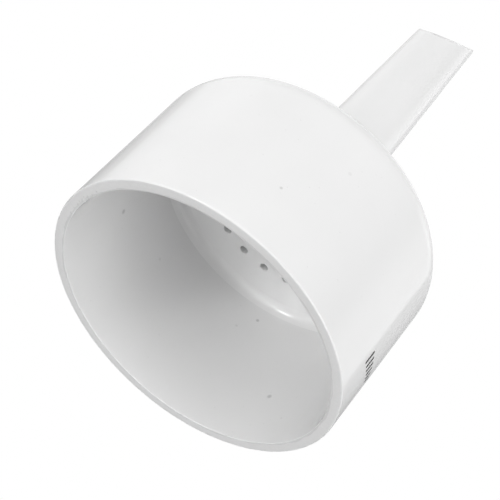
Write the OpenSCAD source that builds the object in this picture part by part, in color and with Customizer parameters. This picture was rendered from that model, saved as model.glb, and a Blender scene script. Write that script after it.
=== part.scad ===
// Porcelain Buchner funnel with a fixed perforated plate, nominal 100 mm size.
// +Z points up through the mouth, and the funnel's axis is the Z axis.
// The origin is on the axis, at the level where a stopper or rubber cone grips the stem.

/* [Bowl] */
// Outer diameter of the bowl
bowl_d = 108; // [104:0.5:116]
// Inside diameter at the mouth
mouth_d = 100; // [99.2:0.1:101]
// Inside diameter just above the plate
floor_d = 98.8; // [98:0.1:99.2]
// Height of the rim above the stem seat
rim_z = 118; // [110:1:130]
// Height of the straight part of the outer wall
wall_h = 55; // [52:0.5:58]
// Radius of the rounded shoulder under the wall
shoulder_r = 11.5; // [10.5:0.5:13]
// Rounding of the rim's outer edge
rim_outer_r = 0.5; // [0.4:0.1:1.4]
// Rounding of the rim's inner edge
rim_inner_r = 0.4; // [0.3:0.1:0.8]

/* [Filter plate] */
// Depth of the plate's top face below the rim
plate_depth = 58.5; // [57:0.5:59]
// Thickness of the plate
plate_t = 4; // [3.8:0.1:4.2]
// Height and width of the bevel round the plate's lower edge
plate_bevel = 2.5; // [2:0.1:2.8]
// Depth of the shallow bevel round the plate's top edge, which the slip of the cove fills
plate_key = 0.6; // [0.4:0.1:0.8]
// Diameter of each perforation
hole_d = 3; // [1.5:0.1:4]
// Radius of the outermost ring of perforations
hole_ring_r = 33; // [28:0.5:36]
// Number of rings round the centre perforation
hole_rings = 4; // [2:1:5]
// Spacing of the perforations along each ring
hole_spacing = 9.4; // [8:0.1:14]
// Angle of the first perforation in each ring
hole_phase = 2.1; // [0:0.1:16]

/* [Joints between the pieces] */
// Thickness of the slip between two luted pieces
slip_t = 0.4; // [0.2:0.05:0.6]
// Width of the slip between the plate's edge and the wall
plate_gap = 0.6; // [0.4:0.1:0.9]
// Radius of the cove between the plate and the wall
cove_r = 4; // [2:0.5:5]
// Radius of the fillet between the hopper and the stem
stem_fillet_r = 5; // [3:0.5:8]
// Radius of the bowl's open underside
lap_r = 43.8; // [43:0.1:44.5]
// Width of the bowl's bottom edge, where the hopper's flange meets it
lap_w = 2.4; // [1.8:0.1:2.8]

/* [Hopper] */
// Slope of the hopper, from level
hopper_slope = 35; // [30:1:38]
// Wall thickness of the hopper
hopper_t = 4.2; // [3.8:0.1:4.6]

/* [Stem] */
// Outer diameter of the stem at the seat
stem_seat_d = 25; // [22:0.5:28]
// Change of the stem's diameter for each millimetre of length
stem_taper = 0.061; // [0.03:0.001:0.08]
// Wall thickness of the stem
stem_t = 3.4; // [2.5:0.1:4.5]
// Distance from the seat down to the tip's cut, on the axis
tip_drop = 57; // [45:1:70]
// Angle of the tip's cut, from square across
tip_angle = 52; // [0:1:55]
// Direction of the stem's shorter side
tip_azimuth = -65; // [-180:1:180]

/* [Printed mark] */
// Height of the tallest bar
mark_h = 5.6; // [3:0.1:8]
// Step down from each bar to the next
mark_step = 0.6; // [0:0.1:0.8]
// Width of each bar
mark_w = 1.1; // [0.5:0.1:2]
// Number of bars
mark_bars = 6; // [3:1:8]
// Angle between one bar and the next
mark_pitch = 2.7; // [2:0.1:5]
// Direction of the first bar
mark_azimuth = -150.5; // [-180:0.5:180]
// Depth of the bars' common foot below the rim
mark_drop = 19.6; // [10:0.1:30]
// Thickness of the fired-on colour
mark_t = 0.1; // [0.05:0.05:0.3]

/* [Hidden] */
$fn = 96;
bowl_r = bowl_d / 2;
mouth_r = mouth_d / 2;
floor_r = floor_d / 2;
plate_z = rim_z - plate_depth;
plate_foot_z = plate_z - plate_t;
bevel_top_z = plate_foot_z + plate_bevel;
plate_r = floor_r - plate_gap;

// Directions up the bowl's inner wall and outwards along the hopper's slope
inner_wall = [mouth_r - floor_r, plate_depth] / norm([mouth_r - floor_r, plate_depth]);
uphill = [cos(hopper_slope), sin(hopper_slope)];

// Heights of the hopper's underside and of its inner floor at radius r.
// The underside runs on into the shoulder's arc, which ends wall_h below the rim.
corner_z = rim_z - wall_h - shoulder_r * tan(45 - hopper_slope / 2);
function under_z(r) = corner_z - (bowl_r - r) * tan(hopper_slope);
function inside_z(r) = under_z(r) + hopper_t / cos(hopper_slope);
function under_r(z) = bowl_r - (corner_z - z) / tan(hopper_slope);

// Radius of the stem's outside and of its bore at height z
function stem_r(z) = (stem_seat_d + stem_taper * z) / 2;
function bore_r(z) = stem_r(z) - stem_t;

// The cove between the plate and the wall, and the edge of the plate's flat top inside it
cove_corner = [floor_r, plate_z];
cove_reach = arc_reach(inner_wall, [-1, 0], cove_r);
flat_edge = cove_corner - [cove_reach, 0];
key_edge = [plate_r, plate_z - plate_key];

// The seat that the plate is bedded in, cut into the inside of the shoulder
ledge_z = plate_foot_z - slip_t;
seat_top_z = bevel_top_z - slip_t;
seat_foot_r = floor_r - plate_bevel;

// The lap between the bowl and the hopper
lap_z = under_z(lap_r + lap_w);
flange_z = lap_z - slip_t;
tongue_r = lap_r - slip_t;

// Where the stem's outer surface crosses the hopper's underside and floor
function cross_r(lift) =
    (stem_seat_d + stem_taper * (under_z(0) + lift)) / (2 - stem_taper * tan(hopper_slope));
root_r = cross_r(0);
root_z = under_z(root_r);
crown_r = cross_r(hopper_t / cos(hopper_slope));
crown_z = inside_z(crown_r);
socket_r = crown_r + slip_t;

stem_low_z = -tip_drop - 1.5 * stem_seat_d;
porcelain = [0.94, 0.94, 0.93];
slip_white = [0.90, 0.90, 0.89];
print_grey = [0.25, 0.25, 0.26];

// ---- outlines, drawn in the half plane x = radius, y = height ----

// An arc of radius r that rounds the corner between two lines leaving it in directions a and b:
// how far along each line it starts, and its centre
function arc_reach(a, b, r) = r / tan(acos(a * b) / 2);
function arc_centre(corner, a, b, r) =
    corner + (a + b) / norm(a + b) * r / sin(acos(a * b) / 2);

// What rounding that corner takes away, with room to spare on the outside
module corner_waste(corner, a, b, r) {
    centre = arc_centre(corner, a, b, r);
    reach = arc_reach(a, b, r);
    difference() {
        polygon([centre, 2 * (corner + a * reach) - centre, 2 * corner - centre,
                 2 * (corner + b * reach) - centre]);
        translate(centre) circle(r = r);
    }
}

// Everything inside the bowl's outer surface, down to the level of the lap
module outer_outline() {
    knee = [bowl_r, under_z(bowl_r)];
    edge = [bowl_r, rim_z];
    difference() {
        polygon([[0, lap_z], [lap_r + lap_w, lap_z], knee, edge, [0, rim_z]]);
        corner_waste(knee, [0, 1], -uphill, shoulder_r);
        corner_waste(edge, [0, -1], [-1, 0], rim_outer_r);
    }
}

// The space inside the bowl: the cup, the seat for the plate and the opening under it
module cup_outline() {
    lip = [mouth_r, rim_z];
    polygon([[0, lap_z - 1], [lap_r, lap_z - 1], [lap_r, ledge_z], [seat_foot_r, ledge_z],
             [floor_r, seat_top_z], [floor_r, plate_z], lip, lip + [0, 1], [0, rim_z + 1]]);
    corner_waste(lip, -inner_wall, [1, 0], rim_inner_r);
}

// ---- pieces ----

// The cup: straight wall, rounded shoulder, and the seat for the plate
module bowl_wall() {
    color(porcelain) rotate_extrude() difference() {
        outer_outline();
        cup_outline();
    }
}

// One ring of perforations; the ring of radius 0 is the centre one
module hole_ring(r) {
    count = max(1, round(2 * PI * r / hole_spacing));
    for (i = [0 : count - 1])
        rotate(hole_phase + i * 360 / count)
            translate([r, 0, plate_foot_z - 1])
                cylinder(h = plate_t + 2, d = hole_d);
}

// The fixed plate, pierced by rings of straight holes
module filter_plate() {
    color(porcelain) difference() {
        rotate_extrude()
            polygon([[0, plate_foot_z], [plate_r - plate_bevel, plate_foot_z],
                     [plate_r, bevel_top_z], key_edge, flat_edge, [0, plate_z]]);
        for (ring = [0 : hole_rings])
            hole_ring(hole_ring_r * ring / hole_rings);
    }
}

// The slip that beds the plate in its seat, and the cove that finishes its edge
module plate_seal() {
    centre = arc_centre(cove_corner, inner_wall, [-1, 0], cove_r);
    color(slip_white) rotate_extrude() difference() {
        polygon([[lap_r, ledge_z], [seat_foot_r, ledge_z], [floor_r, seat_top_z], cove_corner,
                 cove_corner + inner_wall * cove_reach, centre, flat_edge, key_edge,
                 [plate_r, bevel_top_z], [plate_r - plate_bevel, plate_foot_z],
                 [lap_r, plate_foot_z]]);
        translate(centre) circle(r = cove_r);
    }
}

// The sloping floor under the plate: a flange, a tongue inside the bowl, and the stem's socket
module hopper_cone() {
    color(porcelain) rotate_extrude()
        polygon([[socket_r, under_z(socket_r)], [under_r(flange_z), flange_z],
                 [tongue_r, flange_z], [tongue_r, inside_z(tongue_r)],
                 [socket_r, inside_z(socket_r)]]);
}

// The slip in the lap between the bowl and the hopper
module hopper_seal() {
    color(slip_white) rotate_extrude()
        polygon([[tongue_r, flange_z], [under_r(flange_z), flange_z], [lap_r + lap_w, lap_z],
                 [lap_r, lap_z], [lap_r, ledge_z], [tongue_r, inside_z(tongue_r)]]);
}

// The tapered tube, its top flush with the hopper's floor and its tip cut at a slant
module stem() {
    throat_r = bore_r(crown_z);
    color(porcelain) difference() {
        rotate_extrude()
            polygon([[bore_r(stem_low_z), stem_low_z], [stem_r(stem_low_z), stem_low_z],
                     [crown_r, crown_z], [throat_r, inside_z(throat_r)]]);
        translate([0, 0, -tip_drop]) rotate(tip_azimuth) rotate([0, -tip_angle, 0])
            translate([-100, -100, -100]) cube([200, 200, 100]);
    }
}

// The slip round the stem in its socket, and the fillet under the hopper
module stem_seal() {
    corner = [root_r, root_z];
    down = [-stem_taper / 2, -1] / norm([stem_taper / 2, 1]);
    centre = arc_centre(corner, down, uphill, stem_fillet_r);
    reach = arc_reach(down, uphill, stem_fillet_r);
    color(slip_white) rotate_extrude() difference() {
        polygon([[crown_r, crown_z], corner + down * reach, centre, corner + uphill * reach,
                 [socket_r, under_z(socket_r)], [socket_r, inside_z(socket_r)]]);
        translate(centre) circle(r = stem_fillet_r);
    }
}

// The fired-on size mark: a row of plain bars, each shorter than the one before
module printed_mark() {
    foot_z = rim_z - mark_drop;
    color(print_grey) intersection() {
        difference() {
            translate([0, 0, foot_z - 1]) cylinder(h = mark_h + 2, r = bowl_r + mark_t);
            translate([0, 0, foot_z - 2]) cylinder(h = mark_h + 4, r = bowl_r);
        }
        for (i = [0 : mark_bars - 1])
            rotate(mark_azimuth - i * mark_pitch)
                translate([bowl_r - 2, -mark_w / 2, foot_z])
                    cube([4, mark_w, mark_h - i * mark_step]);
    }
}

bowl_wall();
filter_plate();
plate_seal();
hopper_cone();
hopper_seal();
stem();
stem_seal();
printed_mark();
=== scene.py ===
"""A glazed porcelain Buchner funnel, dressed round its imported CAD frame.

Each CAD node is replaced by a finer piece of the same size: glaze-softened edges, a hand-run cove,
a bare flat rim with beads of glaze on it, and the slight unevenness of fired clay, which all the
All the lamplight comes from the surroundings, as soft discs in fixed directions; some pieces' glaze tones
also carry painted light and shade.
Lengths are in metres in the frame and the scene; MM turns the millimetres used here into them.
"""
import math

import bmesh
import bpy
from mathutils import Euler, Matrix, Vector, geometry, noise


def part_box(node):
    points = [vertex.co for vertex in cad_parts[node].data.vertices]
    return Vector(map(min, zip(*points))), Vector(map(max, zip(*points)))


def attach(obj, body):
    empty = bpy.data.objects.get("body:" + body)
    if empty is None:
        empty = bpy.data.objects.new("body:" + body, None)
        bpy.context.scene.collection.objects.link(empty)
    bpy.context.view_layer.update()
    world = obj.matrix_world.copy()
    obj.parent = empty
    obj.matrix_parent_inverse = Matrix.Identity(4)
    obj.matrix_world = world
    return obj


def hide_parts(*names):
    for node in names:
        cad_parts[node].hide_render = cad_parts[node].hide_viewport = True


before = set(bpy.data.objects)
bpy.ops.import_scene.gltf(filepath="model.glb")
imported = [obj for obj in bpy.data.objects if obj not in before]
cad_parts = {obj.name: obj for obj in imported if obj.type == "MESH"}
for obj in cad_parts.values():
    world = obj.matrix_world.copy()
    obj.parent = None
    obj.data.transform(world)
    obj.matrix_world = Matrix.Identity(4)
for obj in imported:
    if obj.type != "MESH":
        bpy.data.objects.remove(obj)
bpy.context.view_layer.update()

MM = 0.001

# ---- sizes read from the frame ----

bowl_low, bowl_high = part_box("bowl_wall")
plate_low, plate_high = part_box("filter_plate")
stem_low, stem_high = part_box("stem")
mark_low, mark_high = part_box("printed_mark")

bowl_r = bowl_high.x
rim_z = bowl_high.z
lap_z = bowl_low.z
plate_z = plate_high.z
plate_foot_z = plate_low.z
plate_r = plate_high.x
crown_r = stem_high.x
mark_foot_z = mark_low.z
mark_h = mark_high.z - mark_low.z
floor_gap = 1.0 * MM       # from the tip of the stem down to the floor

# ---- sizes of the real pieces that the boxes don't show ----

mouth_r = 50.0 * MM
floor_r = 49.4 * MM
wall_h = 55.0 * MM
shoulder_r = 11.5 * MM
rim_outer_r = 0.5 * MM
rim_inner_r = 0.3 * MM
bare_depth = 0.15 * MM     # how far down from the rim's flat the bare clay goes
lip_h = 4.0 * MM           # height of the part of the inner wall that opens slightly towards the rim
lip_flare = 0.12 * MM      # how far it opens
lip_pinch = 0.04 * MM      # how far the wall comes in at its foot
lip_curve = [(0.33, 0.45), (0.66, 0.12)]   # share of its height from the rim, share of the flare there
bead_rise = 0.22           # height of a glaze bead as a share of its radius
bead_sunk = 0.06 * MM      # how far a bead's centre lies under the rim's flat
slip_t = 0.4 * MM          # thickness of the slip in the joints
plate_bevel = 2.5 * MM     # bevel of the plate's lower edge
plate_key = 0.6 * MM       # depth of the shallow bevel of its upper edge, which the slip fills
cove_r = 4.0 * MM
cove_swing = 0.03          # share by which the hand-run cove's radius varies round the plate
cove_wave = 1.7            # how quickly it varies
seal_overlap = 0.02 * MM   # how deep the cove's ends go into the wall and the plate
lap_r = 43.8 * MM          # radius of the opening in the bowl's underside
lap_w = 2.4 * MM           # width of the bowl's flat round that opening
hopper_t = 4.2 * MM
hopper_slope = math.radians(35)
stem_seat_r = 12.5 * MM    # outer radius at height 0
stem_taper = 0.0305        # gain of the radius for each unit of height
stem_t = 3.4 * MM
tip_drop = 57.0 * MM       # depth at which the slanted cut crosses the axis
tip_angle = math.radians(52)
tip_azimuth = math.radians(-65)   # direction of the stem's short side
tip_round = 0.95 * MM      # mean rounding of the tip's outer edge
tip_swing = 0.35 * MM      # how much more it is at the short side, and less at the long side
tip_inner_round = 0.35 * MM
stem_fillet_r = 5.0 * MM
hole_r = 1.5 * MM
hole_round = 0.4 * MM      # rounding of each hole's edges
hole_ring_r = 33.0 * MM
hole_rings = 4
hole_spacing = 9.4 * MM
hole_phase = math.radians(2.1)
glaze_wander = 1.6 * MM    # how far the edge of the glaze wanders across the rim
mark_bars = 6
mark_azimuth = math.radians(-150.5)
mark_pitch = math.radians(2.7)
mark_w = 1.1 * MM
mark_step = 0.6 * MM       # how much shorter each bar is than the one before
mark_corner = 0.3 * MM
mark_film = 0.05 * MM      # how far the colour stands out of the wall
mark_buried = 0.05 * MM    # how far it goes into the wall

TURN = 2 * math.pi
AXIS = Vector((0, 0))      # the funnel's axis, seen from above

# ---- fineness of the meshes ----

FINE_STEPS = 480           # vertices round the axis on the bowl and the cove
HOPPER_STEPS = 360
STEM_STEPS = 240
EDGE_STEPS = 240           # round the plate
HOLE_STEPS = 28            # round each hole
HOLE_ROUND_STEPS = 5       # down the rounding of a hole's edge
SIDE_STEPS = 40            # along the stem's outside and its bore
TIP_STEPS = 3              # across the tip's cut face
MARK_COLUMNS = 8
MARK_ROWS = 16
ARC_STEP = 0.6 * MM        # of radius, for each step of a rounding
GRID = 2.2 * MM            # spacing of the vertices on the plate's flat faces
SKIRT = 0.45 * MM          # width of the ring of small triangles round a hole and along the plate's edge
SHARP_ANGLE = math.radians(34)
# A face is left out where its middle is nearer a hole's centre than this share of the hole's edge.
INSIDE_HOLE = 0.985

corner_z = rim_z - wall_h - shoulder_r * math.tan(math.pi / 4 - hopper_slope / 2)
flange_z = lap_z - slip_t
socket_r = crown_r + slip_t
tongue_r = lap_r - slip_t
ledge_z = plate_foot_z - slip_t
seat_top_z = plate_foot_z + plate_bevel - slip_t
seat_foot_r = floor_r - plate_bevel


def under_z(r):
    """Height of the hopper's underside at radius r."""
    return corner_z - (bowl_r - r) * math.tan(hopper_slope)


def inside_z(r):
    """Height of the hopper's inner floor at radius r."""
    return under_z(r) + hopper_t / math.cos(hopper_slope)


def under_r(z):
    """Radius at which the hopper's underside is at height z."""
    return bowl_r - (corner_z - z) / math.tan(hopper_slope)


def stem_r(z):
    """Outer radius of the stem at height z."""
    return stem_seat_r + stem_taper * z


# ---- unevenness of fired clay, the same field for every piece, so that pieces that meet stay together ----

noise.seed_set(5)          # noise_vector's offsets follow the clock until a seed is set
SWELL = 0.07 * MM          # slow warp of the whole funnel
RIPPLE = 0.018 * MM        # shorter waves of the glaze
SWELL_LENGTH = 42 * MM
RIPPLE_LENGTH = 9 * MM
INSET = 1 - (SWELL + RIPPLE) / bowl_r


def uneven(point):
    """Where a point of the true shape is on the fired funnel."""
    swell = noise.noise_vector(point / SWELL_LENGTH) * SWELL
    ripple = noise.noise_vector(point / RIPPLE_LENGTH) * RIPPLE
    return point * INSET + swell + ripple


# ---- outlines in the half plane (radius, height) ----

def arc_between(start, centre, end, steps):
    """Points of the shorter arc from start to end round centre, both ends included."""
    first = start - centre
    turn = first.angle_signed(end - centre)
    points = []
    for i in range(steps + 1):
        angle = -turn * i / steps
        c, s = math.cos(angle), math.sin(angle)
        points.append(centre + Vector((first.x * c - first.y * s, first.x * s + first.y * c)))
    return points


def rounded_corner(before, corner, after, radius, steps):
    """The arc that rounds a corner of an outline."""
    a = (before - corner).normalized()
    b = (after - corner).normalized()
    half = a.angle(b) / 2
    reach = radius / math.tan(half)
    centre = corner + (a + b).normalized() * radius / math.sin(half)
    return arc_between(corner + a * reach, centre, corner + b * reach, steps)


def straight(start, end, spacing):
    """Points strictly between start and end, about one spacing apart."""
    count = max(1, round((end - start).length / spacing))
    return [start.lerp(end, i / count) for i in range(1, count)]


def outline(corners, spacing=2.5 * MM, arc_steps=8):
    """A closed outline from (radius, height, rounding) corners."""
    places = [Vector((r, z)) for r, z, _ in corners]
    pieces = []
    for i, (_, _, rounding) in enumerate(corners):
        if rounding:
            steps = max(arc_steps, round(rounding / ARC_STEP))
            pieces.append(rounded_corner(places[i - 1], places[i], places[(i + 1) % len(places)],
                                         rounding, steps))
        else:
            pieces.append([places[i]])
    points = []
    for i, piece in enumerate(pieces):
        following = pieces[(i + 1) % len(pieces)]
        points += piece
        points += straight(piece[-1], following[0], spacing)
    return points


# ---- meshes ----

def finish_piece(name, bm, materials, node):
    """Evens out the mesh into a shown piece that stands for one CAD node."""
    for vert in bm.verts:
        vert.co = uneven(vert.co)
    bmesh.ops.recalc_face_normals(bm, faces=bm.faces)
    for face in bm.faces:
        face.smooth = True
    for edge in bm.edges:
        edge.smooth = edge.calc_face_angle(math.pi) < SHARP_ANGLE
    mesh = bpy.data.meshes.new(name)
    bm.to_mesh(mesh)
    bm.free()
    for material in materials:
        mesh.materials.append(material)
    piece = bpy.data.objects.new(name, mesh)
    bpy.context.scene.collection.objects.link(piece)
    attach(piece, "root")
    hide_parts(node)


def revolved(outline_at, steps):
    """A closed ring of quads: outline_at(angle) gives the same number of points at every angle."""
    bm = bmesh.new()
    rings = []
    for i in range(steps):
        angle = TURN * i / steps
        c, s = math.cos(angle), math.sin(angle)
        rings.append([bm.verts.new((p.x * c, p.x * s, p.y)) for p in outline_at(angle)])
    for i in range(steps):
        here, there = rings[i], rings[(i + 1) % steps]
        for j in range(len(here)):
            k = (j + 1) % len(here)
            bm.faces.new((here[j], there[j], there[k], here[k]))
    return bm


# ---- materials ----

def node_tree(name):
    """A new material with a plain Principled shader, its node tree and that shader."""
    material = bpy.data.materials.new(name)
    material.use_nodes = True
    tree = material.node_tree
    tree.nodes.clear()
    output = tree.nodes.new("ShaderNodeOutputMaterial")
    shader = tree.nodes.new("ShaderNodeBsdfPrincipled")
    tree.links.new(shader.outputs["BSDF"], output.inputs["Surface"])
    return material, tree, shader


def texture(tree, kind, scale):
    """A texture node that follows the funnel's own coordinates, with scale cells to the metre."""
    coordinates = tree.nodes.new("ShaderNodeTexCoord")
    node = tree.nodes.new(kind)
    node.inputs["Scale"].default_value = scale
    tree.links.new(coordinates.outputs["Object"], node.inputs["Vector"])
    return node


def cloudy(tree, scale, detail=2):
    """The output of a noise texture, about 0.5 on average."""
    node = texture(tree, "ShaderNodeTexNoise", scale)
    node.inputs["Detail"].default_value = detail
    return node.outputs[0]


def ramp(tree, source, low, high, out_low=0.0, out_high=1.0):
    """Maps source from low..high to out_low..out_high, smoothly and clamped."""
    node = tree.nodes.new("ShaderNodeMapRange")
    node.interpolation_type = "SMOOTHSTEP"
    node.inputs["From Min"].default_value = low
    node.inputs["From Max"].default_value = high
    node.inputs["To Min"].default_value = out_low
    node.inputs["To Max"].default_value = out_high
    tree.links.new(source, node.inputs["Value"])
    return node.outputs["Result"]


def math_node(tree, operation, a, b=None):
    """The output of a math node; a and b are numbers or other nodes' outputs."""
    node = tree.nodes.new("ShaderNodeMath")
    node.operation = operation
    for socket, value in zip(node.inputs, (a, b)):
        if value is None:
            continue
        if isinstance(value, (int, float)):
            socket.default_value = value
        else:
            tree.links.new(value, socket)
    return node.outputs[0]


def blend_colours(tree, factor, a, b):
    """A colour between a and b; each is a colour or another node's output."""
    node = tree.nodes.new("ShaderNodeMix")
    node.data_type = "RGBA"
    tree.links.new(factor, node.inputs["Factor"])
    for socket, value in ((node.inputs[6], a), (node.inputs[7], b)):
        if isinstance(value, tuple):
            socket.default_value = value
        else:
            tree.links.new(value, socket)
    return node.outputs[2]


def grey(value):
    """A neutral colour."""
    return (value, value, value, 1)


def bump(tree, shader, height, strength, distance):
    """Fine relief on a shader's surface."""
    node = tree.nodes.new("ShaderNodeBump")
    node.inputs["Strength"].default_value = strength
    node.inputs["Distance"].default_value = distance
    tree.links.new(height, node.inputs["Height"])
    tree.links.new(node.outputs["Normal"], shader.inputs["Normal"])


def spot(tree, place, radius):
    """1 within 0.4 radius of a place on the funnel, fading to 0 at 1.6 radius."""
    coordinates = tree.nodes.new("ShaderNodeTexCoord")
    distance = tree.nodes.new("ShaderNodeVectorMath")
    distance.operation = "DISTANCE"
    distance.inputs[1].default_value = place
    tree.links.new(coordinates.outputs["Object"], distance.inputs[0])
    return ramp(tree, distance.outputs["Value"], 0.4 * radius, 1.6 * radius, out_low=1, out_high=0)


def on_wall(azimuth, r, z):
    """A place on the fired funnel's surface, from its azimuth in degrees, radius and height."""
    angle = math.radians(azimuth)
    return uneven(Vector((r * math.cos(angle), r * math.sin(angle), z)))


# Pinholes and specks of iron under the glaze: azimuth in degrees, distance from the axis, height and
# size in mm, and how dark it is, from 0 to 1.
SPECKS = [
    (-82.3, 54, 97.5, 0.45, 0.30),
    (-95.3, 54, 75.9, 0.60, 0.10),
    (31.4, 49.7, 86.7, 0.80, 0.35),
    (137.1, 49.8, 97.1, 0.75, 0.38),
    (110.3, 49.5, 68.6, 0.55, 0.38),
    (104.8, 49.6, 75.3, 0.45, 0.16),
    (81.8, 48.6, 60.2, 0.60, 0.30),
    (62.0, 49.6, 79.0, 0.45, 0.14),
    (150.0, 49.9, 106.0, 0.40, 0.12),
]


def glaze(name, tone=0.80, specks=()):
    """Clear gloss glaze over white porcelain: faint clouds, an orange-peel surface and a few specks."""
    material, tree, shader = node_tree(name)
    cloud_depth = 0.03
    clouds = cloudy(tree, scale=30)
    colour = blend_colours(tree, clouds, grey(tone - cloud_depth), grey(tone + cloud_depth))
    grains = texture(tree, "ShaderNodeTexVoronoi", scale=260)
    fine = ramp(tree, grains.outputs["Distance"], low=0.03, high=0.07, out_low=0.18, out_high=0)
    colour = blend_colours(tree, fine, colour, grey(tone * 0.5))
    for azimuth, r, z, size, depth in specks:
        near = spot(tree, on_wall(azimuth, r * MM, z * MM), size * MM)
        darkness = math_node(tree, "MULTIPLY", near, depth)
        colour = blend_colours(tree, darkness, colour, grey(tone * 0.25))
    tree.links.new(colour, shader.inputs["Base Color"])
    smears = cloudy(tree, scale=90, detail=3)
    roughness = ramp(tree, smears, low=0.35, high=0.75, out_low=0.03, out_high=0.11)
    tree.links.new(roughness, shader.inputs["Roughness"])
    shader.inputs["IOR"].default_value = 1.5
    bump(tree, shader, cloudy(tree, scale=420), strength=0.12, distance=0.04 * MM)
    return material


def from_axis(tree):
    """Distance from the funnel's axis."""
    coordinates = tree.nodes.new("ShaderNodeTexCoord")
    place = tree.nodes.new("ShaderNodeSeparateXYZ")
    tree.links.new(coordinates.outputs["Object"], place.inputs[0])
    squares = [math_node(tree, "POWER", place.outputs[axis], 2) for axis in ("X", "Y")]
    return math_node(tree, "SQRT", math_node(tree, "ADD", squares[0], squares[1]))


def biscuit(name, tone=0.86, glazed_tone=0.80):
    """Bare, ground porcelain on the rim, with the ragged edge of the glaze along its inner side."""
    material, tree, shader = node_tree(name)
    grain = cloudy(tree, scale=900, detail=4)
    patches = cloudy(tree, scale=120, detail=3)
    colour = blend_colours(tree, grain, grey(tone - 0.08), grey(tone + 0.05))
    worn = blend_colours(tree, patches, colour, grey(tone - 0.03))
    ragged = math_node(tree, "MULTIPLY", patches, glaze_wander)
    edge = math_node(tree, "SUBTRACT", from_axis(tree), ragged)
    glazed = ramp(tree, edge, low=mouth_r - 0.15 * MM, high=mouth_r + 0.05 * MM, out_low=1, out_high=0)
    tree.links.new(blend_colours(tree, glazed, worn, grey(glazed_tone)), shader.inputs["Base Color"])
    roughness = ramp(tree, glazed, low=0, high=1, out_low=0.6, out_high=0.12)
    tree.links.new(roughness, shader.inputs["Roughness"])
    bump(tree, shader, grain, strength=0.4, distance=0.05 * MM)
    return material


def fired_print(name):
    """Nearly black ceramic colour, slightly worn and less glossy than the glaze."""
    material, tree, shader = node_tree(name)
    wear = cloudy(tree, scale=1200, detail=3)
    colour = blend_colours(tree, wear, grey(0.02), grey(0.06))
    tree.links.new(colour, shader.inputs["Base Color"])
    shader.inputs["Roughness"].default_value = 0.25
    return material


# ---- pieces ----

def bowl_corners():
    """The bowl's outline from the lap under its shoulder, up over the rim and down to the seat."""
    corners = [
        (lap_r + lap_w, lap_z, 0),
        (bowl_r, under_z(bowl_r), shoulder_r),
        (bowl_r, rim_z, rim_outer_r),
        (mouth_r + lip_flare, rim_z, rim_inner_r),
    ]
    corners += [(mouth_r + lip_flare * opening, rim_z - lip_h * down, 0) for down, opening in lip_curve]
    corners += [
        (mouth_r - lip_pinch, rim_z - lip_h, 0),
        (floor_r, plate_z, 0),
        (floor_r, seat_top_z, 0),
        (seat_foot_r, ledge_z, 0),
        (lap_r, ledge_z, 0),
        (lap_r, lap_z, 0),
    ]
    return corners


# Beads of glaze left along the rim's inner edge: azimuth in degrees, distance from the axis and
# radius of the bead in mm.
BEADS = [
    (-21, 51.2, 0.44),
    (-18, 50.7, 0.55),
    (-15.2, 50.8, 0.72),
    (-13, 51.5, 0.39),
    (-11.4, 50.7, 0.78),
    (-9.2, 51.3, 0.42),
    (-7.4, 50.7, 0.65),
    (-4, 51.0, 0.44),
    (-0.5, 50.7, 0.68),
    (3.5, 51.0, 0.36),
    (6, 50.6, 0.44),
    (9.5, 50.7, 0.59),
]


def add_beads(bm):
    """Low domes of glaze that stand on the rim's flat."""
    for azimuth, r, size in BEADS:
        angle = math.radians(azimuth)
        centre = Vector((r * math.cos(angle), r * math.sin(angle), rim_z / MM)) * MM
        bead = bmesh.ops.create_uvsphere(bm, u_segments=16, v_segments=10, radius=1)
        for vert in bead["verts"]:
            x, y, z = vert.co * size * MM
            vert.co = centre + Vector((x, y, bead_rise * z - bead_sunk))


def build_bowl(porcelain, bare):
    """The cup's wall, shoulder and seat, bare of glaze on the rim's flat."""
    points = outline(bowl_corners(), spacing=2 * MM)
    bm = revolved(lambda angle: points, FINE_STEPS)
    for face in bm.faces:
        middle = face.calc_center_median()
        beyond_glaze = math.hypot(middle.x, middle.y) > mouth_r + lip_flare + rim_inner_r / 2
        if middle.z > rim_z - bare_depth and beyond_glaze:
            face.material_index = 1
    add_beads(bm)
    finish_piece("bowl_wall_visual", bm, [porcelain, bare], "bowl_wall")


def hole_centres():
    """Centres of the perforations: one on the axis, then evenly spaced rings."""
    centres = []
    for ring in range(hole_rings + 1):
        r = hole_ring_r * ring / hole_rings
        count = max(1, round(TURN * r / hole_spacing))
        for i in range(count):
            angle = hole_phase + i * TURN / count
            centres.append(Vector((r * math.cos(angle), r * math.sin(angle))))
    return centres


def circle(centre, r, steps):
    """Points of a circle, seen from above."""
    return [centre + Vector((r * math.cos(TURN * i / steps), r * math.sin(TURN * i / steps)))
            for i in range(steps)]


def grid_places(outer_r, holes, clearance):
    """Points of a triangular grid that keep clear of the holes and of the outer edge."""
    places = []
    rows = int(outer_r / GRID) + 1
    for i in range(-rows, rows + 1):
        for j in range(-rows, rows + 1):
            place = Vector(((i + 0.5 * (j % 2)) * GRID, j * GRID * math.sqrt(3) / 2))
            if place.length >= outer_r - 2 * SKIRT:
                continue
            if all((place - centre).length > clearance for centre in holes):
                places.append(place)
    return places


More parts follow.
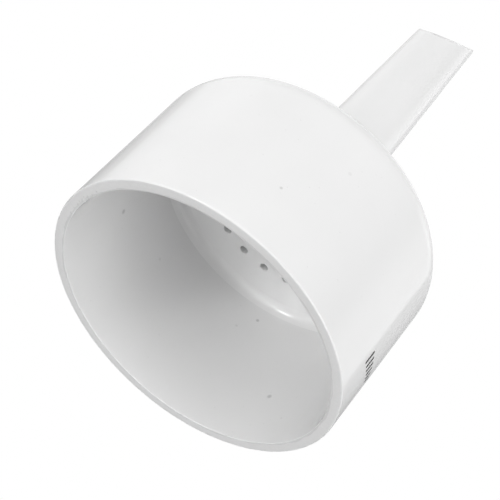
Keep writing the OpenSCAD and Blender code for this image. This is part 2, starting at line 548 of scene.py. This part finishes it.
def pierced_face(bm, z, outer_r, holes):
    """A flat face at height z, open at each hole; returns its outer ring, then each hole's ring."""
    edge_r = hole_r + hole_round
    rings = [circle(AXIS, outer_r, EDGE_STEPS)]
    rings += [circle(centre, edge_r, HOLE_STEPS) for centre in holes]
    places = []
    borders = []
    for ring in rings:
        first = len(places)
        places += ring
        borders += [(first + i, first + (i + 1) % len(ring)) for i in range(len(ring))]
    for centre in holes:
        places += circle(centre, edge_r + SKIRT, HOLE_STEPS)
    places += circle(AXIS, outer_r - SKIRT, EDGE_STEPS)
    places += grid_places(outer_r, holes, edge_r + 2 * SKIRT)
    points, _, faces, origins, _, _ = geometry.delaunay_2d_cdt(places, borders, [], 0, 1e-9)
    verts = [bm.verts.new((p.x, p.y, z)) for p in points]
    for face in faces:
        middle = sum((points[i] for i in face), Vector((0, 0))) / len(face)
        if all((middle - centre).length > edge_r * INSIDE_HOLE for centre in holes):
            bm.faces.new([verts[i] for i in face])
    where = {original: i for i, group in enumerate(origins) for original in group}
    open_rings = []
    first = 0
    for ring in rings:
        open_rings.append([verts[where[first + i]] for i in range(len(ring))])
        first += len(ring)
    return open_rings


def bridge(bm, rings):
    """Quads between each ring of vertices and the next."""
    for here, there in zip(rings, rings[1:]):
        count = len(here)
        for i in range(count):
            k = (i + 1) % count
            bm.faces.new((here[i], here[k], there[k], there[i]))


def rings_at(bm, centre, levels, steps):
    """A ring of new vertices round centre for each (radius, height)."""
    return [[bm.verts.new((p.x, p.y, z)) for p in circle(centre, r, steps)] for r, z in levels]


def hole_levels():
    """The (radius, height) steps down a hole, with both its edges rounded."""
    upper = []
    lower = []
    for i in range(1, HOLE_ROUND_STEPS + 1):
        angle = math.pi / 2 * i / HOLE_ROUND_STEPS
        r = hole_r + hole_round * (1 - math.sin(angle))
        drop = hole_round * (1 - math.cos(angle))
        upper.append((r, plate_z - drop))
        lower.append((r, plate_foot_z + drop))
    return upper + lower[::-1]


def build_plate(porcelain):
    """The perforated plate: straight drilled holes whose edges the glaze has rounded."""
    holes = hole_centres()
    bm = bmesh.new()
    top = pierced_face(bm, plate_z, floor_r - cove_r, holes)
    bottom = pierced_face(bm, plate_foot_z, plate_r - plate_bevel, holes)
    edge = [(plate_r, plate_z - plate_key), (plate_r, plate_foot_z + plate_bevel)]
    bridge(bm, [top[0]] + rings_at(bm, AXIS, edge, EDGE_STEPS) + [bottom[0]])
    for hole, centre in enumerate(holes, 1):
        inside = rings_at(bm, centre, hole_levels(), HOLE_STEPS)
        bridge(bm, [top[hole]] + inside + [bottom[hole]])
    finish_piece("filter_plate_visual", bm, [porcelain], "filter_plate")


def build_plate_seal(slip):
    """The bedding slip under the plate, ending in a cove run round by hand."""
    up_wall = Vector((mouth_r - floor_r, rim_z - plate_z)).normalized()
    corner = Vector((floor_r, plate_z))
    inward = Vector((-1, 0))
    bed_top = [
        Vector((plate_r, plate_z - plate_key)),
        Vector((plate_r, plate_foot_z + plate_bevel)),
        Vector((plate_r - plate_bevel, plate_foot_z)),
        Vector((lap_r, plate_foot_z)),
    ]
    bed_foot = [
        Vector((lap_r, ledge_z)),
        Vector((seat_foot_r, ledge_z)),
        Vector((floor_r, seat_top_z)),
        corner + Vector((seal_overlap, 0)),
    ]

    def outline_at(angle):
        """The seal's outline at one angle round the axis."""
        here = Vector((math.cos(angle), math.sin(angle), 0))
        radius = cove_r * (1 - cove_swing + cove_swing * noise.noise(here * cove_wave))
        arc = rounded_corner(corner + up_wall, corner, corner + inward, radius, steps=14)
        arc[0] = arc[0] + Vector((seal_overlap, 0))
        arc[-1] = arc[-1] - Vector((0, seal_overlap))
        return bed_foot + arc + bed_top

    bm = revolved(outline_at, FINE_STEPS)
    finish_piece("plate_seal_visual", bm, [slip], "plate_seal")


def build_hopper(porcelain):
    """The sloping floor under the plate, with a socket for the stem and a tongue inside the bowl."""
    points = outline([
        (socket_r, under_z(socket_r), 0),
        (under_r(flange_z), flange_z, 0),
        (tongue_r, flange_z, 0),
        (tongue_r, inside_z(tongue_r), 0),
        (socket_r, inside_z(socket_r), 0),
    ])
    bm = revolved(lambda angle: points, HOPPER_STEPS)
    finish_piece("hopper_cone_visual", bm, [porcelain], "hopper_cone")


def build_hopper_seal(slip):
    """The slip in the lap between the hopper and the bowl."""
    points = outline([
        (tongue_r, flange_z, 0),
        (under_r(flange_z), flange_z, 0),
        (lap_r + lap_w, lap_z, 0),
        (lap_r, lap_z, 0),
        (lap_r, ledge_z, 0),
        (tongue_r, inside_z(tongue_r), 0),
    ])
    bm = revolved(lambda angle: points, HOPPER_STEPS)
    finish_piece("hopper_seal_visual", bm, [slip], "hopper_seal")


def between(start, end, steps):
    """The points that divide start to end in equal steps, both ends left out."""
    return [start.lerp(end, i / steps) for i in range(1, steps)]


def cut_z(wall_r, angle):
    """Height of the slanted cut where it meets a wall of the stem, wall_r being its radius at z = 0."""
    rise = math.tan(tip_angle) * math.cos(angle - tip_azimuth)
    return (-tip_drop + rise * wall_r) / (1 - rise * stem_taper)


def stem_outline(angle):
    """The stem's outline at one angle round the axis, from its crown down the outside and up the bore."""
    crown_z = inside_z(crown_r)
    crown = Vector((crown_r, crown_z))
    throat_r = stem_r(crown_z) - stem_t
    throat = Vector((throat_r, inside_z(throat_r)))
    outer_z = cut_z(stem_seat_r, angle)
    inner_z = cut_z(stem_seat_r - stem_t, angle)
    outer = Vector((stem_r(outer_z), outer_z))
    inner = Vector((stem_r(inner_z) - stem_t, inner_z))
    rounding = tip_round + tip_swing * math.cos(angle - tip_azimuth)
    outer_arc = rounded_corner(crown, outer, inner, rounding, steps=8)
    inner_arc = rounded_corner(outer, inner, throat, tip_inner_round, steps=6)
    points = [crown] + between(crown, outer_arc[0], SIDE_STEPS) + outer_arc
    points += between(outer_arc[-1], inner_arc[0], TIP_STEPS) + inner_arc
    points += between(inner_arc[-1], throat, SIDE_STEPS) + [throat]
    return points


def build_stem(porcelain):
    """The tapered tube, its tip cut at a slant and its edges rounded by the glaze."""
    bm = revolved(stem_outline, STEM_STEPS)
    finish_piece("stem_visual", bm, [porcelain], "stem")


def build_stem_seal(slip):
    """The slip in the stem's socket, with a fillet outside."""
    root_r = (stem_seat_r + stem_taper * under_z(0)) / (1 - stem_taper * math.tan(hopper_slope))
    corner = Vector((root_r, under_z(root_r)))
    down = Vector((-stem_taper, -1)).normalized()
    uphill = Vector((math.cos(hopper_slope), math.sin(hopper_slope)))
    arc = rounded_corner(corner + down, corner, corner + uphill, stem_fillet_r, steps=16)
    points = [Vector((crown_r, inside_z(crown_r)))]
    points += arc
    points += [Vector((socket_r, under_z(socket_r))), Vector((socket_r, inside_z(socket_r)))]
    bm = revolved(lambda angle: points, STEM_STEPS)
    finish_piece("stem_seal_visual", bm, [slip], "stem_seal")


def bar_sheet(bm, azimuth, height, r):
    """One face of a printed bar, as a grid of vertices with soft corners, at radius r."""
    grid = []
    half = mark_w / bowl_r / 2
    for i in range(MARK_COLUMNS + 1):
        across = 2 * i / MARK_COLUMNS - 1
        corner = mark_corner * (1 - math.sqrt(max(0, 1 - across ** 6)))
        angle = azimuth + across * half
        column = []
        for j in range(MARK_ROWS + 1):
            z = mark_foot_z + corner + (height - 2 * corner) * j / MARK_ROWS
            column.append(bm.verts.new((r * math.cos(angle), r * math.sin(angle), z)))
        grid.append(column)
    return grid


def fill(bm, grid):
    """Quads over a grid of vertices."""
    for left, right in zip(grid, grid[1:]):
        for j in range(len(left) - 1):
            bm.faces.new((left[j], right[j], right[j + 1], left[j + 1]))


def border(grid):
    """The vertices round the edge of a grid, in order."""
    columns = len(grid) - 1
    rows = len(grid[0]) - 1
    loop = [grid[i][0] for i in range(columns)]
    loop += [grid[columns][j] for j in range(rows)]
    loop += [grid[i][rows] for i in range(columns, 0, -1)]
    loop += [grid[0][j] for j in range(rows, 0, -1)]
    return loop


def build_mark(colour):
    """A row of plain bars of fired-on colour, each shorter than the one before."""
    bm = bmesh.new()
    for bar in range(mark_bars):
        azimuth = mark_azimuth - bar * mark_pitch
        height = mark_h - bar * mark_step
        sheets = [bar_sheet(bm, azimuth, height, r) for r in (bowl_r - mark_buried, bowl_r + mark_film)]
        for grid in sheets:
            fill(bm, grid)
        bridge(bm, [border(grid) for grid in sheets])
    finish_piece("printed_mark_visual", bm, [colour], "printed_mark")


# ---- camera, floor and light ----

def place_camera():
    """The camera looks down into the mouth, rolled so that the stem lies towards the upper right."""
    aim = Vector((1.85, 0, 81.8)) * MM
    distance = 453 * MM
    elevation = math.radians(36.56)
    roll = math.radians(-137.76)
    lens = bpy.data.cameras.new("camera")
    lens.lens = 100
    lens.sensor_width = 36
    lens.clip_start = 0.01
    lens.clip_end = 20
    camera = bpy.data.objects.new("camera", lens)
    away = Vector((0, -math.cos(elevation), math.sin(elevation)))
    tilt = Euler((math.pi / 2 - elevation, 0, 0)).to_matrix()
    camera.matrix_world = Matrix.Translation(aim + away * distance) @ (
        tilt @ Matrix.Rotation(roll, 3, "Z")).to_4x4()
    bpy.context.scene.collection.objects.link(camera)
    bpy.context.scene.camera = camera


def floor_white():
    """White to the camera on its upper side, and clear to everything else."""
    material = bpy.data.materials.new("floor")
    material.use_nodes = True
    tree = material.node_tree
    tree.nodes.clear()
    output = tree.nodes.new("ShaderNodeOutputMaterial")
    white = tree.nodes.new("ShaderNodeEmission")
    clear = tree.nodes.new("ShaderNodeBsdfTransparent")
    path = tree.nodes.new("ShaderNodeLightPath")
    side = tree.nodes.new("ShaderNodeNewGeometry")
    above = math_node(tree, "SUBTRACT", 1, side.outputs["Backfacing"])
    seen = math_node(tree, "MULTIPLY", path.outputs["Is Camera Ray"], above)
    either = tree.nodes.new("ShaderNodeMixShader")
    tree.links.new(seen, either.inputs["Fac"])
    tree.links.new(clear.outputs[0], either.inputs[1])
    tree.links.new(white.outputs[0], either.inputs[2])
    tree.links.new(either.outputs[0], output.inputs["Surface"])
    return material


def build_floor():
    """A plain white floor that the camera sees from above, and that takes no part in the light."""
    bpy.ops.mesh.primitive_plane_add(size=6, location=(0, 0, stem_low.z - floor_gap))
    floor = bpy.context.object
    floor.name = "floor"
    floor.data.materials.append(floor_white())


# Soft lights round the funnel: azimuth and elevation of the middle, radius of the lit disc and width of its
# soft edge, all in degrees, then how much brighter than the surroundings it is.
LIGHTS = [
    ("wide box in front", -60, 5, 20, 30, 1.5),
    ("right end of the wide box", -30, 5, 20, 30, 0.35),
    ("left end of the wide box", -150, 10, 15, 25, 0.75),
    ("key", -40, 52, 10, 15, 1.6),
    ("hot middle of the key", -36, 39, 3, 3, 24.0),
    ("tall box at the left", 205, 22, 10, 15, 3.4),
    ("foot of the tall box", 180, 0, 12, 20, 1.3),
    ("far corner at the left", 160, -32, 14, 20, 0.7),
    ("far corner at the right", 22, -22, 15, 25, 0.47),
]
# Lights that the dim card behind the funnel doesn't hide
OPEN_LIGHTS = [
    ("ceiling", -60, 78, 8, 12, 1.2),
    ("edge of the ceiling", -35, 70, 10, 25, 0.45),
    ("glow of the floor", 0, -90, 20, 50, 0.95),
    ("white sheet behind", 90, -37, 10, 10, 0.2),
    ("back fill", 90, -12, 5, 18, 2.2),
]
SURROUNDINGS = 0.02        # brightness where there is no light
BACK_CARD = 0.05           # brightness of the dim card, which hides the lights behind it
BACK_AZIMUTH = math.radians(96)
BACK_HALF_WIDTH = math.radians(51)
BACK_SOFTNESS = math.radians(2.5)


def toward(azimuth, elevation):
    """The unit vector that points at a place in the studio; angles in radians."""
    flat = math.cos(elevation)
    return Vector((flat * math.cos(azimuth), flat * math.sin(azimuth), math.sin(elevation)))


def along(tree, heading, direction):
    """Dot product of the ray's heading and a fixed direction."""
    node = tree.nodes.new("ShaderNodeVectorMath")
    node.operation = "DOT_PRODUCT"
    node.inputs[1].default_value = direction
    tree.links.new(heading, node.inputs[0])
    return node.outputs["Value"]


def add_lights(tree, heading, lights, base):
    """The base brightness plus a soft disc for each light."""
    total = base
    for name, azimuth, elevation, reach, edge, strength in lights:
        facing = along(tree, heading, toward(math.radians(azimuth), math.radians(elevation)))
        outer = math.cos(math.radians(reach + edge))
        inner = math.cos(math.radians(reach))
        disc = ramp(tree, facing, low=outer, high=inner, out_low=0, out_high=strength)
        disc.node.label = name
        total = math_node(tree, "ADD", disc, total)
    return total


def build_world():
    """White to the camera; for light and reflections, a grey studio with soft lights and a dim back."""
    world = bpy.data.worlds.new("studio")
    bpy.context.scene.world = world
    world.use_nodes = True
    tree = world.node_tree
    heading = tree.nodes.new("ShaderNodeTexCoord").outputs["Generated"]
    back = along(tree, heading, toward(BACK_AZIMUTH, 0))
    side = along(tree, heading, toward(BACK_AZIMUTH + math.pi / 2, 0))
    turn = math_node(tree, "ABSOLUTE", math_node(tree, "ARCTAN2", side, back))
    clear = ramp(tree, turn, BACK_HALF_WIDTH - BACK_SOFTNESS, BACK_HALF_WIDTH + BACK_SOFTNESS)
    shining = add_lights(tree, heading, LIGHTS, SURROUNDINGS - BACK_CARD)
    light = math_node(tree, "MULTIPLY", clear, shining)
    light = math_node(tree, "ADD", light, add_lights(tree, heading, OPEN_LIGHTS, BACK_CARD))
    path = tree.nodes.new("ShaderNodeLightPath")
    seen = path.outputs["Is Camera Ray"]
    hidden = math_node(tree, "MULTIPLY", light, math_node(tree, "SUBTRACT", 1, seen))
    background = tree.nodes["Background"]
    background.inputs["Color"].default_value = grey(1)
    tree.links.new(math_node(tree, "ADD", hidden, seen), background.inputs["Strength"])


def main():
    """Builds the scene."""
    porcelain = glaze("porcelain_glaze")
    cup = glaze("cup_glaze", specks=SPECKS)
    # The stem has the same glaze as the other pieces. Its slightly darker tone is painted shade.
    tube = glaze("stem_glaze_painted_shade", tone=0.775)
    # The plate and the cove have the same glaze as the cup. Their lighter tone is painted light that
    # brightens the deep inside of the bowl.
    plate = glaze("plate_glaze_painted_light", tone=0.87)
    slip = glaze("slip_glaze_painted_light", tone=0.87)
    bare = biscuit("bare_rim")
    ink = fired_print("fired_ink")
    place_camera()
    build_bowl(cup, bare)
    build_plate(plate)
    build_plate_seal(slip)
    build_hopper(porcelain)
    build_hopper_seal(slip)
    build_stem(tube)
    build_stem_seal(slip)
    build_mark(ink)
    build_floor()
    build_world()
    bpy.context.scene.view_settings.view_transform = "Standard"


main()
